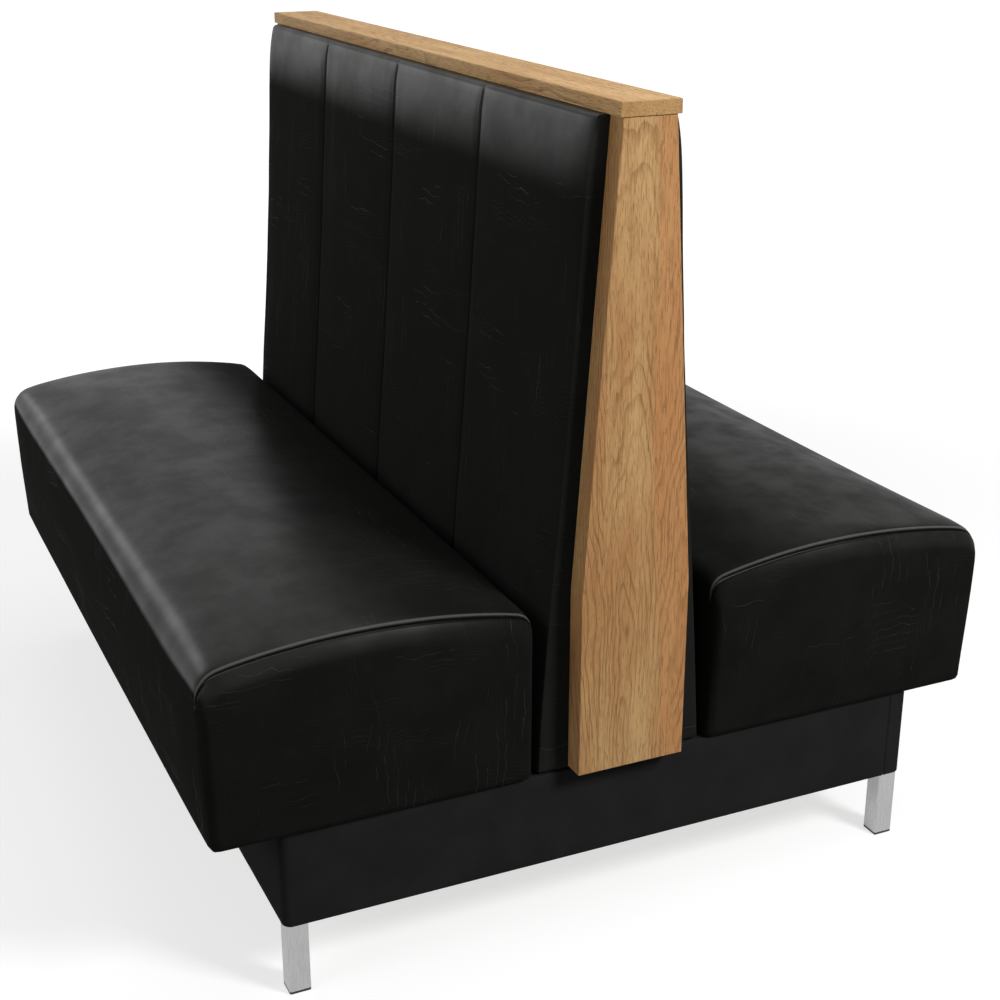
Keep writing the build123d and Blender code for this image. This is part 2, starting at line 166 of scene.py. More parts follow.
# each bend is a noise scale and a reach; along and across stretch the patches that hold creases
creaseShape = dict(
    bends=((17.0, 0.03), (95.0, 0.0055)), along=5.5, across=36.0, patchEdge=0.07, patchShift=3.1,
    turnScale=5.0, turns=(0.45, 0.5, 0.55), sides=(0.5, 0.8), breakScale=48.0, breaks=(0.3, 0.55),
)


def makeCreaseGroup(shape):
    tree, given, result = newGroup(
        "vinyl creases", ["Place", "Facing"],
        {"Spacing": 0.014, "Line width": 0.0007, "Coverage": 0.45, "Shift": 0.0}, ["Crease"])
    shifted = vectorCalc(tree, "ADD", given["Place"], given["Shift"])
    bent = shifted
    for scale, reach in shape["bends"]:
        bent = vectorCalc(tree, "ADD", bent, wander(tree, shifted, scale, (reach,) * 3))
    across = splitVector(tree, bent)
    facing = splitVector(tree, given["Facing"])
    threshold = calc(tree, "SUBTRACT", 1.0, given["Coverage"])
    full = calc(tree, "ADD", threshold, shape["patchEdge"])
    # creases run level in one place and upright in the next
    turn = cloud(tree, shifted, (shape["turnScale"],) * 3, 1.0)
    low, middle, high = shape["turns"]
    level, upright = ramp(tree, turn, middle, high), ramp(tree, turn, low, middle, 1.0, 0.0)
    crease = 0.0
    for axis in range(3):
        # lines that lie across this axis, in patches drawn out along them
        stretch = [shape["along"]] * 3
        stretch[axis] = shape["across"]
        away = calc(tree, "PINGPONG", across[axis], times(tree, given["Spacing"], 0.5))
        line = ramp(tree, away, 0.0, given["Line width"], 1.0, 0.0)
        patch = vectorCalc(tree, "ADD", shifted, (axis * shape["patchShift"],) * 3)
        patch = ramp(tree, cloud(tree, patch, stretch, 1.0), threshold, full)
        side = ramp(tree, calc(tree, "ABSOLUTE", facing[axis]), *shape["sides"], 1.0, 0.0)
        side = times(tree, side, level if axis == 2 else upright)
        crease = calc(tree, "MAXIMUM", crease, times(tree, times(tree, line, patch), side))
    broken = ramp(tree, noiseValue(tree, shifted, shape["breakScale"], 1.0), *shape["breaks"])
    feed(tree, times(tree, crease, broken), result["Crease"])
    return tree


# a ring darkens from the first edge to the second, and ends between the last two
grainShape = dict(
    wanders=(((9.0, 9.0, 3.0), 1.0), ((34.0, 34.0, 9.0), 0.26)), ringEdges=(0.5, 0.9, 0.92, 1.0),
    streaks=(300.0, 300.0, 7.0), pores=(1100.0, 1100.0, 60.0), poreEdges=(0.58, 0.7), tone=(24.0, 24.0, 4.0),
)


def makeGrainGroup(shape):
    tree, given, result = newGroup(
        "wood grain", ["Place"], {"Ring spacing": 0.006, "Tilt": 0.045, "Wander": 0.03, "Shift": 0.0},
        ["Rings", "Streaks", "Pores", "Tone"])
    # the trunk runs along Z of Place and leans over X
    shifted = vectorCalc(tree, "ADD", given["Place"], given["Shift"])
    bent = given["Place"]
    for stretch, reach in shape["wanders"]:
        shift = wander(tree, vectorCalc(tree, "MULTIPLY", shifted, stretch), 1.0, (reach, reach, 0.0))
        bent = vectorCalc(tree, "ADD", bent, scaleVector(tree, shift, given["Wander"]))
    parts = splitVector(tree, bent)
    leaning = calc(tree, "ADD", parts[0], times(tree, parts[2], given["Tilt"]))
    squares = calc(tree, "ADD", times(tree, leaning, leaning), times(tree, parts[1], parts[1]))
    saw = calc(tree, "FRACT", calc(tree, "DIVIDE", calc(tree, "SQRT", squares), given["Ring spacing"]))
    start, full, fading, end = shape["ringEdges"]
    rings = times(tree, ramp(tree, saw, start, full), ramp(tree, saw, fading, end, 1.0, 0.0))
    feed(tree, rings, result["Rings"])
    feed(tree, cloud(tree, shifted, shape["streaks"], 3.0, 0.65), result["Streaks"])
    feed(tree, ramp(tree, cloud(tree, shifted, shape["pores"], 1.0), *shape["poreEdges"]), result["Pores"])
    feed(tree, cloud(tree, shifted, shape["tone"]), result["Tone"])
    return tree


creaseGroup = makeCreaseGroup(creaseShape)
grainGroup = makeGrainGroup(grainShape)


# Vinyl

def makeVinyl(name, look):
    material, tree, shader, place = newMaterial(name)
    facing = place.node.outputs["Normal"]
    creases = 0.0
    for strength, size, width, shift in ((1.0, 1.0, 1.0, 0.0), look["fineCreases"]):
        crease = useGroup(tree, creaseGroup, {
            "Place": place, "Facing": facing, "Spacing": look["creaseSpacing"] * size,
            "Line width": look["creaseWidth"] * width, "Coverage": look["creaseCoverage"],
            "Shift": look["shift"] + shift})["Crease"]
        creases = calc(tree, "MAXIMUM", creases, times(tree, crease, strength))
    mottlePlace = vectorCalc(tree, "ADD", place, (look["shift"],) * 3)
    mottle = noiseValue(tree, mottlePlace, look["mottleScale"], 4.0, 0.6)
    mottleEdges = look["mottleEdges"]
    colour = blendColour(tree, ramp(tree, mottle, *mottleEdges), look["dark"], look["light"])
    # creases are painted paler in the base colour: a painted highlight standing in for the glints on their
    # ridges
    colour = blendColour(tree, times(tree, creases, look["creaseGlintShare"]), colour, look["creaseGlintColour"])
    spot = splitVector(tree, place)
    if look["lipHighlight"]:
        # the seats' sewn edge is painted paler: a painted highlight along the lip above the groove
        along = calc(tree, "ABSOLUTE", spot[0])
        start, full, fading, end = look["lipHighlightPlaces"]
        edge = times(tree, ramp(tree, along, start, full), ramp(tree, along, fading, end, 1.0, 0.0))
        edge = times(tree, edge, ramp(tree, spot[2], *look["lipHighlightHeights"]))
        colour = blendColour(tree, times(tree, edge, look["lipHighlight"]), colour, look["lipHighlightColour"])
    tree.links.new(colour, shader.inputs["Base Color"])
    # use has polished what faces up, away from the back, and the padding's top edge
    worn = ramp(tree, calc(tree, "ABSOLUTE", spot[1]), *look["worn"], look["wornLeast"], 1.0)
    polish = times(tree, ramp(tree, splitVector(tree, facing)[2], *look["polished"]), worn)
    polish = calc(tree, "MAXIMUM", polish, ramp(tree, spot[2], *look["rubbed"]))
    polish = calc(tree, "ADD", polish, times(tree, creases, look["creasePolish"]), clamp=True)
    matt, gloss = look["matt"], look["gloss"]
    feed(tree, ramp(tree, mottle, *mottleEdges, matt - look["mattSpread"], matt), shader.inputs["Roughness"])
    coat = times(tree, polish, ramp(tree, mottle, *mottleEdges, gloss - look["mottle"], gloss))
    feed(tree, coat, shader.inputs["Coat Weight"])
    shader.inputs["Coat Roughness"].default_value = look["coatRoughness"]
    shader.inputs["Coat IOR"].default_value = look["coatIor"]
    shader.inputs["IOR"].default_value = look["ior"]
    grain = addNode(tree, "ShaderNodeTexVoronoi", {"Vector": place, "Scale": look["grainScale"]}).outputs[0]
    relief = calc(
        tree, "ADD", times(tree, creases, look["creaseRise"]), times(tree, grain, look["grainRise"]))
    addBump(tree, shader, relief, look["relief"])
    return material


# fineCreases: strength, size, width and shift of a second, smaller set
vinylLook = dict(
    dark=srgb(21, 22, 20), light=srgb(25, 26, 24), matt=1.0, mattSpread=0.06, ior=1.06,
    gloss=1.0, coatRoughness=0.34, coatIor=1.20, mottle=0.3, mottleScale=15.0, mottleEdges=(0.3, 0.7),
    polished=(0.16, 0.4), rubbed=(2.0, 2.1), worn=(0.17, 0.37), wornLeast=0.05,
    # the lip settings paint a highlight on the seats' sewn edge, above the groove
    lipHighlight=0.45, lipHighlightColour=srgb(104, 102, 97), lipHighlightPlaces=(0.5912, 0.5922, 0.5942, 0.5950),
    lipHighlightHeights=(0.42, 0.44),
    # the crease colour and its share paint a highlight on the crease lines
    creaseGlintColour=srgb(70, 69, 64), creaseGlintShare=0.38, creasePolish=0.30, creaseRise=0.5,
    creaseSpacing=0.013, creaseWidth=0.0007, creaseCoverage=0.45, fineCreases=(0.45, 0.45, 0.67, 4.4),
    grainScale=900.0, grainRise=0.05, relief=0.001, shift=0.0,
)
# the pads' vinyl is the seats' vinyl painted paler, to lift the shade the pads sit in
backVinylLook = dict(
    vinylLook, dark=srgb(29, 30, 28), light=srgb(32, 33, 31), coatRoughness=0.38, lipHighlight=0.0,
    polished=(0.4, 0.9), rubbed=(0.95, 1.025), worn=(-2.0, -1.0), shift=2.1,
)
baseVinylLook = dict(
    vinylLook, dark=srgb(32, 32, 32), light=srgb(36, 36, 36), matt=0.9, gloss=0.2, mottle=0.02, lipHighlight=0.0,
    creaseGlintShare=0.0, creasePolish=0.0, creaseRise=0.0, grainRise=0.03,
)
seatVinyl = makeVinyl("black seat vinyl", vinylLook)
seatVinylTurned = makeVinyl("black seat vinyl, second hide", dict(vinylLook, gloss=0.62, shift=5.3))
backVinyl = makeVinyl("black back vinyl", backVinylLook)
backVinylTurned = makeVinyl("black back vinyl, second hide", dict(backVinylLook, shift=7.9))
baseVinyl = makeVinyl("smooth black base vinyl", baseVinylLook)


# Wood and the rest

def makeWood(name, look):
    material, tree, shader, place = newMaterial(name)
    shader.inputs["Specular IOR Level"].default_value = look["shine"]
    endFacing = splitVector(tree, place.node.outputs["Normal"])["XYZ".index(look["along"])]
    if look["along"] == "X":
        turn = (0, math.radians(90), 0)
        place = addNode(tree, "ShaderNodeMapping", {"Vector": place, "Rotation": turn}).outputs[0]
    place = addNode(tree, "ShaderNodeMapping", {"Vector": place, "Location": look["heart"]}).outputs[0]
    staves = look["staves"]
    redStave = 0.0
    if staves:
        # the board is glued up from three staves, each with its own figure
        spot = splitVector(tree, place)
        rightEdge = ramp(tree, spot[2], *staves["heights"], *staves["right"])
        redStave = calc(tree, "GREATER_THAN", spot[1], rightEdge)
        leftStave = calc(tree, "LESS_THAN", spot[1], staves["left"])
        for share, shift in ((redStave, staves["redShift"]), (leftStave, staves["leftShift"])):
            place = vectorCalc(tree, "ADD", place, scaleVector(tree, shift, share))
    grain = useGroup(tree, grainGroup, {
        "Place": place, "Ring spacing": look["ringSpacing"], "Tilt": look["tilt"],
        "Wander": look["wander"], "Shift": look["shift"]})
    colour = blendColour(tree, ramp(tree, grain["Tone"], *look["toneEdges"]), look["pale"], look["warm"])
    if staves:
        colour = blendColour(tree, times(tree, redStave, staves["redShare"]), colour, staves["red"])
    # the rings come and go over the board, and are faint on end grain
    clear = ramp(tree, cloud(tree, place, look["clearStretch"]), *look["clearEdges"], look["clearLeast"], 1.0)
    endGrain = ramp(tree, calc(tree, "ABSOLUTE", endFacing), *look["endEdges"])
    faded = calc(tree, "SUBTRACT", 1.0, times(tree, endGrain, look["endFade"]))
    rings = times(tree, grain["Rings"], times(tree, clear, faded))
    streaks = ramp(tree, grain["Streaks"], *look["streakEdges"])
    for share, amount, tint in (
            (rings, "ringShare", "ring"), (streaks, "streakShare", "ring"),
            (grain["Pores"], "poreShare", "pore"), (endGrain, "endShade", "ring")):
        colour = blendColour(tree, times(tree, share, look[amount]), colour, look[tint])
    tree.links.new(colour, shader.inputs["Base Color"])
    least, most = look["roughness"]
    feed(tree, ramp(tree, grain["Streaks"], *look["roughEdges"], least, most), shader.inputs["Roughness"])
    height = calc(tree, "SUBTRACT", times(tree, rings, look["ringRise"]), grain["Pores"])
    addBump(tree, shader, height, look["relief"])
    return material


# rings show where a slow noise lies above clearEdges, and fade on end grain
oakLook = dict(
    along="Z", heart=(-0.652, 0.014, 0.0), tilt=0.09, ringSpacing=0.0056, wander=0.05, shift=0.0, staves=None,
    pale=srgb(184, 147, 98), warm=srgb(166, 121, 75), ring=srgb(128, 88, 48), pore=srgb(120, 84, 50),
    ringShare=0.56, streakShare=0.4, poreShare=0.35, endShade=0.42, ringRise=-0.8, relief=0.0005,
    clearStretch=(26.0, 26.0, 4.5), clearEdges=(0.40, 0.60), clearLeast=0.12,
    endEdges=(0.4, 0.8), endFade=0.8, toneEdges=(0.3, 0.7), streakEdges=(0.5, 0.68),
    roughEdges=(0.2, 0.8), roughness=(0.54, 0.66), shine=0.25,
)
# right is where the red stave starts at the lower and the upper height
panelStaves = dict(
    left=-0.033, leftShift=(0.006, 0.09, 0.37), heights=(0.25, 0.75), right=(0.056, 0.030),
    redShift=(0.012, -0.11, 0.81), red=srgb(176, 120, 72), redShare=0.6,
)
capLook = dict(
    oakLook, along="X", heart=(-1.05, 0.012, 0.0), tilt=0.05, shift=1.7, ringShare=0.55,
    pale=srgb(200, 161, 107), warm=srgb(186, 143, 89),
)
frameLook = dict(
    oakLook, along="X", heart=(0.0, 0.03, 0.0), tilt=0.01, ringSpacing=0.009, poreShare=0.15,
    roughness=(0.64, 0.76),
    pale=srgb(214, 180, 132), warm=srgb(203, 165, 116), ring=srgb(176, 132, 84), pore=srgb(160, 120, 80),
)
plywoodLook = dict(
    frameLook, pale=srgb(212, 186, 146), warm=srgb(200, 170, 128), ringSpacing=0.03, wander=0.12,
    ringShare=0.3,
)
beechLook = dict(
    frameLook, pale=srgb(210, 172, 134), warm=srgb(200, 158, 118), ringShare=0.2, poreShare=0.3,
)
panelOak = makeWood("light oak, upright", dict(oakLook, staves=panelStaves))
capOak = makeWood("light oak, lengthwise", capLook)


def makeSimple(name, look):
    material, tree, shader, place = newMaterial(name)
    stretched = addNode(tree, "ShaderNodeMapping", {"Vector": place, "Scale": look["stretch"]}).outputs[0]
    speck = noiseValue(tree, stretched, look["scale"], 3.0, 0.6)
    colour = blendColour(tree, ramp(tree, speck, *look["tintEdges"]), look["dark"], look["light"])
    tree.links.new(colour, shader.inputs["Base Color"])
    least, most = look["roughness"]
    feed(tree, ramp(tree, speck, *look["roughEdges"], least, most), shader.inputs["Roughness"])
    shader.inputs["Metallic"].default_value = look["metal"]
    addBump(tree, shader, speck, look["relief"])
    return material


def makeWeave(name, look):
    material, tree, shader, place = newMaterial(name)
    threads = {"Vector": place, "Scale": look["threads"], "Distortion": look["uneven"]}
    warp, weft = (addNode(tree, "ShaderNodeTexWave", threads, bands_direction=way).outputs[1] for way in "XY")
    cloth = calc(tree, "MAXIMUM", warp, weft)
    tree.links.new(blendColour(tree, cloth, look["dark"], look["light"]), shader.inputs["Base Color"])
    shader.inputs["Roughness"].default_value = look["roughness"]
    addBump(tree, shader, cloth, look["relief"])
    return material


plainLook = dict(stretch=(1, 1, 1), metal=0.0, tintEdges=(0.3, 0.7), roughEdges=(0.2, 0.8))
chromeLook = dict(
    plainLook, dark=srgb(168, 168, 168), light=srgb(178, 178, 178), stretch=(1, 1, 0.06), scale=700.0,
    roughness=(0.21, 0.31), metal=1.0, relief=0.00001,
)
zincLook = dict(
    plainLook, dark=srgb(176, 178, 176), light=srgb(206, 208, 204), scale=260.0, roughness=(0.30, 0.46),
    metal=1.0, relief=0.00002,
)
plasticLook = dict(
    plainLook, dark=srgb(20, 20, 20), light=srgb(30, 30, 30), scale=1500.0, roughness=(0.44, 0.56),
    relief=0.00005,
)
foamLook = dict(
    plainLook, dark=srgb(224, 208, 160), light=srgb(240, 228, 186), scale=900.0, roughness=(0.92, 0.98),
    relief=0.0008,
)
waddingLook = dict(
    plainLook, dark=srgb(216, 216, 212), light=srgb(238, 238, 236), scale=120.0, roughness=(0.92, 0.98),
    relief=0.001,
)
weaveLook = dict(uneven=0.6, roughness=0.85, relief=0.0003)
webbingLook = dict(weaveLook, threads=320.0, dark=srgb(92, 70, 44), light=srgb(170, 148, 112))
clothLook = dict(weaveLook, threads=500.0, dark=srgb(14, 14, 14), light=srgb(36, 36, 36))
dustCloth = makeWeave("black dust cloth", clothLook)

finishBySlot = {
    "seat_vinyl": seatVinyl,
    "base_vinyl": baseVinyl,
    "frame_wood": makeWood("frame softwood", frameLook),
    "plywood": makeWood("plywood", plywoodLook),
    "beech": makeWood("beech dowel", beechLook),
    "foam": makeSimple("cut foam", foamLook),
    "wadding": makeSimple("white wadding", waddingLook),
    "webbing": makeWeave("elastic webbing", webbingLook),
    "dust_cloth": dustCloth,
    "satin_chrome": makeSimple("satin chrome", chromeLook),
    "zinc_steel": makeSimple("zinc plated steel", zincLook),
    "black_plastic": makeSimple("moulded black plastic", plasticLook),
}
# the first start that fits a node's name gives its slot
slotByStart = [
    ("leg_insert", "zinc_steel"), ("leg", "satin_chrome"), ("foot_cap", "black_plastic"),
    ("base_cover", "base_vinyl"), ("base_dowels", "beech"), ("base_deck", "plywood"), ("base", "frame_wood"),
    ("seat_cover", "seat_vinyl"), ("seat_foam", "foam"), ("seat_wadding", "wadding"),
    ("seat_webbing", "webbing"), ("seat_dust", "dust_cloth"), ("seat", "frame_wood"),
    ("back_cover", "seat_vinyl"), ("back_foam", "foam"), ("back_lower", "plywood"),
    ("back_upper", "plywood"), ("back_rail_screws", "zinc_steel"), ("back", "frame_wood"),
    ("frame_screws", "zinc_steel"), ("cap_screws", "zinc_steel"),
]
for name, node in cadNodes.items():
    if name.startswith("end_panel"):
        finish = panelOak
    elif name == "top_cap":
        finish = capOak
    else:
        finish = finishBySlot[next(slot for start, slot in slotByStart if name.startswith(start))]
    node.data.materials.clear()
    node.data.materials.append(finish)
print("booth: finishes made")


# Mesh helpers

def meshPiece(name, points, faces, material):
    mesh = bpy.data.meshes.new(name)
    mesh.from_pydata([tuple(point) for point in points], [], faces)
    mesh.update()
    mesh.polygons.foreach_set("use_smooth", [True] * len(mesh.polygons))
    mesh.materials.append(material)
    piece = bpy.data.objects.new(name, mesh)
    bpy.context.scene.collection.objects.link(piece)
    return piece


def thicken(piece, thickness, offset):
    solid = piece.modifiers.new("thickness", "SOLIDIFY")
    solid.thickness = thickness
    solid.offset = offset
    bpy.context.view_layer.objects.active = piece
    bpy.ops.object.modifier_apply(modifier=solid.name)


def tubeFaces(rings, count):
    ring = np.arange(rings - 1)[:, None] * count
    step = np.arange(count)[None, :]
    after = (step + 1) % count
    quads = np.stack([ring + step, ring + after, ring + count + after, ring + count + step], -1)
    return [tuple(int(i) for i in quad) for quad in quads.reshape(-1, 4)]


def getPoints(mesh):
    points = np.empty(len(mesh.vertices) * 3, np.float32)
    mesh.vertices.foreach_get("co", points)
    return points.reshape(-1, 3).astype(float)


def setPoints(mesh, points):
    mesh.vertices.foreach_set("co", points.astype(np.float32).ravel())
    mesh.update()


def getNormals(mesh):
    normals = np.empty(len(mesh.vertices) * 3, np.float32)
    mesh.vertex_normals.foreach_get("vector", normals)
    return normals.reshape(-1, 3).astype(float)


def smoothStep(low, high, value):
    share = np.clip((value - low) / (high - low), 0, 1)
    return share * share * (3 - 2 * share)


def hill(away, half):
    return np.exp(-(away / half) ** 2)


# settings of the cloth simulation that both padded forms share
swellLook = dict(voxel=0.0085, quality=4, mass=0.3, frames=16, weightSteps=10, neighbours=6, nearest=0.002)


def blowUp(copy, look, weights):
    held = copy.vertex_groups.new(name="held")
    steps = swellLook["weightSteps"]
    for level in range(steps + 1):
        chosen = np.nonzero(np.round(weights * steps) == level)[0]
        held.add([int(i) for i in chosen], level / steps, "REPLACE")
    cloth = copy.modifiers.new("cloth", "CLOTH")
    settings = cloth.settings
    settings.quality = swellLook["quality"]
    settings.mass = swellLook["mass"]
    settings.tension_stiffness = settings.compression_stiffness = look["stiffness"]
    settings.shear_stiffness = look["stiffness"] / 2
    settings.bending_stiffness = look["bending"]
    settings.use_pressure = True
    settings.uniform_pressure_force = look["pressure"]
    settings.vertex_group_mass = held.name
    settings.effector_weights.gravity = 0
    cloth.collision_settings.use_collision = False
    for step in range(1, swellLook["frames"] + 1):
        bpy.context.scene.frame_set(step)
    bpy.ops.object.modifier_apply(modifier=cloth.name)


def evenOut(mesh, moved, rounds):
    # small ripples are evened out over the mesh, so that only the broad swelling stays
    pairs = np.empty(len(mesh.edges) * 2, np.int32)
    mesh.edges.foreach_get("vertices", pairs)
    first, second = pairs.reshape(-1, 2).T
    count = len(moved)
    links = np.maximum(np.bincount(pairs, minlength=count), 1)
    for turn in range(rounds):
        for axis in range(3):
            around = np.bincount(first, moved[second, axis], count)
            around = around + np.bincount(second, moved[first, axis], count)
            moved[:, axis] = (moved[:, axis] + around / links) / 2


# swells a padded form: a coarse copy is blown up as cloth, and its movement is handed to the fine mesh
def swell(piece, look, heldWeights):
    copy = bpy.data.objects.new(piece.name + "Blank", piece.data.copy())
    bpy.context.scene.collection.objects.link(copy)
    bpy.context.view_layer.objects.active = copy
    remesh = copy.modifiers.new("remesh", "REMESH")
    remesh.mode = "VOXEL"
    remesh.voxel_size = swellLook["voxel"]
    bpy.ops.object.modifier_apply(modifier=remesh.name)
    start = getPoints(copy.data)
    blowUp(copy, look, heldWeights(start))
    moved = getPoints(copy.data) - start
    bpy.context.scene.frame_set(1)
    reach = np.linalg.norm(moved, axis=1)
    moved *= np.minimum(1, look["moveCap"] / np.maximum(reach, 1e-9))[:, None]
    evenOut(copy.data, moved, look["calming"])
    tree = kdtree.KDTree(len(start))
    for index, point in enumerate(start):
        tree.insert(point, index)
    tree.balance()
    fine = getPoints(piece.data)
    shift = np.zeros_like(fine)
    for index, point in enumerate(fine):
        near = tree.find_n(point, swellLook["neighbours"])
        shares = np.array([1 / (distance + swellLook["nearest"]) for _, _, distance in near])
        shift[index] = (moved[[i for _, i, _ in near]] * shares[:, None]).sum(0) / shares.sum()
    setPoints(piece.data, fine + shift)
    bpy.data.objects.remove(copy)
    largest, mean = (round(float(value) * 1000, 1) for value in (reach.max(), reach.mean()))
    print("booth:", piece.name, "swelled, largest move", largest, "mm, mean", mean)


def turnedCopy(piece, name, material):
    # the far side is the near side turned half round
    copy = bpy.data.objects.new(name, piece.data.copy())
    bpy.context.scene.collection.objects.link(copy)
    setPoints(copy.data, getPoints(copy.data) * (-1, -1, 1))
    copy.data.materials.clear()
    copy.data.materials.append(material)
    return copy


# Seat cushion

seatLook = dict(
    halfLength=0.6, backY=0.126, frontY=0.548, frontBottomY=0.541, bottomZ=0.229,
    backTopZ=0.459, frontTopZ=0.461, crownZ=0.484, crownShare=0.48,
    backRadius=0.024, frontRadius=0.034, bottomRadius=0.007,
    rollAim=0.06, backAim=0.05, rollGap=0.012, backGap=0.006, topSteps=60,
    pointSpacing=0.0065, stationSpacing=0.009,
    foldWidth=0.025, foldStep=0.0025, foldEdge=0.004, foldHeight=0.002,
    # x and drop of the top cover's edge, down into the sewn groove and up again
    sewnEdge=[
        (0.560, 0.0), (0.570, 0.0003), (0.579, 0.0008), (0.586, 0.0014), (0.590, 0.0022), (0.593, 0.0033),
        (0.5948, 0.0046), (0.5955, 0.0060), (0.5952, 0.0074), (0.5938, 0.0088), (0.5920, 0.0098),
        (0.5930, 0.0114), (0.5955, 0.0108), (0.5972, 0.0094), (0.5984, 0.0080), (0.5993, 0.0070)],
    shoulderReach=0.0107, shoulderDrop=0.032, shoulderSteps=12, sideRound=0.013, sideStart=0.584,
    footPull=0.005, footTop=0.41, footStart=0.596, endBulge=0.0015, endRings=12,
    sewnX=0.597, sewnHold=(0.006, 0.02), sewnFloor=0.42, footHold=(0.232, 0.262), backHold=(0.13, 0.156),
    backShare=0.9, stiffness=15.0, bending=6.0, pressure=3.0, moveCap=0.006, calming=70,
)


def circleThrough(first, second, third):
    (ax, ay), (bx, by), (cx, cy) = first, second, third
    lines = np.array([[bx - ax, by - ay], [cx - ax, cy - ay]]) * 2
    values = np.array([bx * bx + by * by - ax * ax - ay * ay, cx * cx + cy * cy - ax * ax - ay * ay])
    centre = np.linalg.solve(lines, values)
    return centre, math.hypot(ax - centre[0], ay - centre[1])


def roundCorner(corner, before, after, radius, steps=14):
    corner, before, after = (np.array(point, float) for point in (corner, before, after))
    first, second = before - corner, after - corner
    first, second = first / np.linalg.norm(first), second / np.linalg.norm(second)
    half = math.acos(np.clip(first @ second, -1, 1)) / 2
    middle = first + second
    centre = corner + middle / np.linalg.norm(middle) * radius / math.sin(half)
    start = corner + first * radius / math.tan(half) - centre
    end = corner + second * radius / math.tan(half) - centre
    points = [start * (1 - t) + end * t for t in np.linspace(0, 1, steps)]
    return [centre + point / np.linalg.norm(point) * radius for point in points]


def evenLoop(points, spacing):
    points = np.array(points + [points[0]])
    lengths = np.concatenate([[0], np.cumsum(np.linalg.norm(np.diff(points, axis=0), axis=1))])
    count = int(round(lengths[-1] / spacing))
    marks = np.linspace(0, lengths[-1], count, endpoint=False)
    return np.stack([np.interp(marks, lengths, points[:, axis]) for axis in (0, 1)], 1)


def seatOutline(look):
    # Y and Z of the section, with the front at high Y, starting at the lower back corner
    back, front, bottom = look["backY"], look["frontY"], look["bottomZ"]
    backTop, frontTop = (back, look["backTopZ"]), (front, look["frontTopZ"])
    backFoot, frontFoot = (back, bottom), (look["frontBottomY"], bottom)
    crown = (back + look["crownShare"] * (front - back), look["crownZ"])
    centre, radius = circleThrough(backTop, crown, frontTop)

    def top(y):
        return y, centre[1] + math.sqrt(radius ** 2 - (y - centre[0]) ** 2)

    outline = roundCorner(backFoot, backTop, (front, bottom), look["bottomRadius"])
    outline += roundCorner(frontFoot, backFoot, frontTop, look["bottomRadius"])
    outline += roundCorner(frontTop, frontFoot, top(front - look["rollAim"]), look["frontRadius"])
    rollEnd, backStart = outline[-1][0] - look["rollGap"], back + look["backRadius"] + look["backGap"]
    outline += [np.array(top(y)) for y in np.linspace(rollEnd, backStart, look["topSteps"])]
    outline += roundCorner(backTop, top(back + look["backAim"]), backFoot, look["backRadius"])
    return evenLoop(outline, look["pointSpacing"])


def seatRings(look, outline):
    # sections from the middle to one end: flat, down over the sewn edge and the shoulder, then closed in
    low, high = outline.min(0), outline.max(0)
    centre = (low + high) / 2
    topShare = (outline[:, 1] - low[1]) / (high[1] - low[1])
    profile = list(look["sewnEdge"])
    sewnX, sewnDrop = profile[-1]
    for t in np.linspace(0, 1, look["shoulderSteps"] + 1)[1:]:
        shoulderX = sewnX + look["shoulderReach"] * (1 - (1 - t) ** 2)
        profile.append((shoulderX, sewnDrop + look["shoulderDrop"] * t))
    flatHalf = profile[0][0]
    sideReach = profile[-1][0] - look["sideStart"]
    stations = int(flatHalf / look["stationSpacing"])
    rings = [(x, outline) for x in np.linspace(0, flatHalf, stations, endpoint=False)[1:]]
    for x, drop in profile:
        side = max(0, x - look["sideStart"]) / sideReach
        pull = look["sideRound"] * (1 - math.sqrt(1 - min(1, side) ** 2))
        ring = outline.copy()
        ring[:, 0] += (centre[0] - outline[:, 0]) / (centre[0] - low[0]) * pull
        ring[:, 1] += -drop * topShare + pull * (1 - topShare)
        rings.append((x, ring))
    lastX, lastRing = rings[-1]
    for share in np.linspace(1, 0, look["endRings"], endpoint=False)[1:]:
        rings.append((lastX + look["endBulge"] * (1 - share ** 2), centre + (lastRing - centre) * share))
    return rings, centre, lastX


def makeSeat(look):
    outline = seatOutline(look)
    count = len(outline)
    rings, centre, lastX = seatRings(look, outline)
    half = [np.column_stack([np.full(count, x), ring]) for x, ring in rings]
    mirrored = [ring * (-1, 1, 1) for ring in reversed(half)]
    middle = [np.column_stack([np.zeros(count), outline])]
    poleX = lastX + look["endBulge"]
    points = np.concatenate(mirrored + middle + half + [[[-poleX, *centre], [poleX, *centre]]])
    total = 2 * len(rings) + 1
    faces = tubeFaces(total, count)
    last = (total - 1) * count
    faces += [(i, len(points) - 2, (i + 1) % count) for i in range(count)]
    faces += [(last + i, last + (i + 1) % count, len(points) - 1) for i in range(count)]
    points[:, 1] *= -1
    # the ends lean in towards the foot
    foot = look["footPull"] * (1 - smoothStep(look["bottomZ"], look["footTop"], points[:, 2]))
    foot *= smoothStep(look["footStart"], lastX, np.abs(points[:, 0]))
    points[:, 0] -= np.sign(points[:, 0]) * foot
    return meshPiece("seatCushionNear", points, faces, seatVinyl)


def recessBottom(piece, look):
    # the cover is folded under the frame, and the middle of the underside stays open for the dust cloth
    points = getPoints(piece.data)
    x, y = np.abs(points[:, 0]), -points[:, 1]
    fold, edge = look["foldWidth"], look["foldEdge"]
    insideX = smoothStep(0, edge, look["halfLength"] - fold - x)
    insideY = smoothStep(0, edge, np.minimum(y - look["backY"] - fold, look["frontBottomY"] - fold - y))
    bottom = points[:, 2] < look["bottomZ"] + look["foldHeight"]
    points[:, 2] += np.where(bottom, insideX * insideY * look["foldStep"], 0)
    setPoints(piece.data, points)


